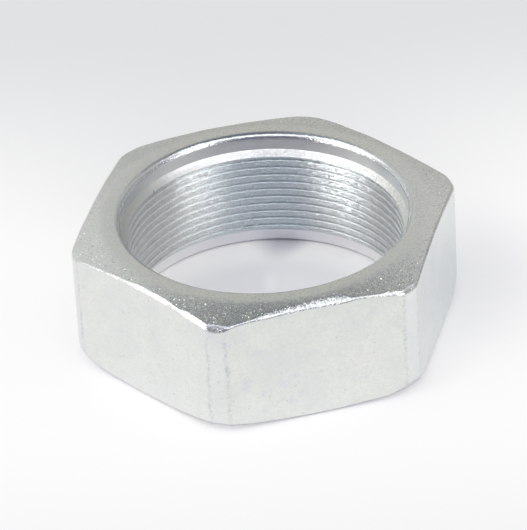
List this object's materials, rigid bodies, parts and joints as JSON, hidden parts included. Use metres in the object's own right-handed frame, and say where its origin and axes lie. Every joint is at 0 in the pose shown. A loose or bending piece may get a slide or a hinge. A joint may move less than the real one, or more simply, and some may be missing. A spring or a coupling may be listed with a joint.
{
  "type": "axle nut",
  "caption": "Large hexagon axle nut with a fine left-hand thread, a plain relief at each end of the bore and shallow chamfers on both ends.",
  "frame": {"origin": "on the thread's axis, in the plane of the lower seat", "axes": "+Z along the thread's axis, from the seat to the top; two opposite corners on X, two opposite flats facing +Y and -Y"},
  "size_m": [0.09, 0.08, 0.03],
  "materials": {
    "zinc_plated_steel": "bright zinc plating over turned and forged steel, satin on the flats, brighter on the edges and in the bore"
  },
  "bodies": {
    "root": {"axle_nut": "zinc_plated_steel"}
  },
  "joints": []
}
